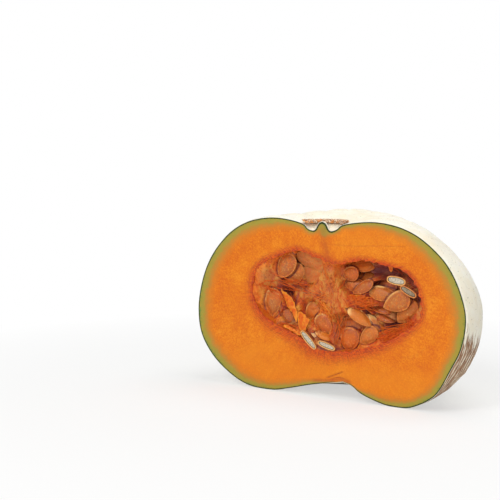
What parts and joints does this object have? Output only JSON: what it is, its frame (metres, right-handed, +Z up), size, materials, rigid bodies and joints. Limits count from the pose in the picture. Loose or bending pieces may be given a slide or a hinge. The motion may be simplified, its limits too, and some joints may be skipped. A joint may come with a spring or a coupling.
{
  "type": "crown pumpkin half",
  "caption": "Half of a pale-skinned ribbed crown pumpkin, cut from stem to blossom end, standing on its underside with orange flesh, stringy pulp and flat seeds in its cavity.",
  "frame": {"origin": "bottom centre of the bounding box, on the surface the fruit stands on", "axes": "+X along the cut face, +Y from the cut face to the back of the fruit, +Z up towards the stem"},
  "size_m": [0.2562, 0.1288, 0.1552],
  "materials": {
    "rind_and_flesh": "cream waxy skin outside, moist orange flesh on the cut",
    "pulp": "moist and stringy",
    "cork": "dry and rough",
    "seed": "smooth and damp"
  },
  "bodies": {
    "root": {"pumpkin_half": "rind_and_flesh", "pulp": "pulp", "stem_scar": "cork", "seed_left_upper_front": "seed", "seed_left_upper_behind": "seed", "seed_left_upper_far": "seed", "seed_left_inner": "seed", "seed_left_upright": "seed", "seed_left_low_film": "seed", "seed_left_low": "seed", "seed_left_edge_on": "seed", "seed_left_deep": "seed", "seed_left_husk": "seed", "seed_cut_left": "seed", "seed_cut_middle": "seed", "seed_middle_low_film": "seed", "seed_middle_low": "seed", "seed_right_low": "seed", "seed_right_tilted_upper": "seed", "seed_right_tilted_lower": "seed", "seed_right_inner_film": "seed", "seed_right_roof": "seed", "seed_right_roof_behind": "seed", "seed_right_shelf_behind": "seed", "seed_right_shelf": "seed", "seed_cut_right_upper": "seed", "seed_cut_right_lower": "seed", "seed_right_front": "seed", "seed_right_front_behind": "seed", "seed_right_outer": "seed", "seed_right_stacked_upper": "seed", "seed_right_stacked_lower": "seed", "seed_right_deep": "seed"}
  },
  "joints": []
}
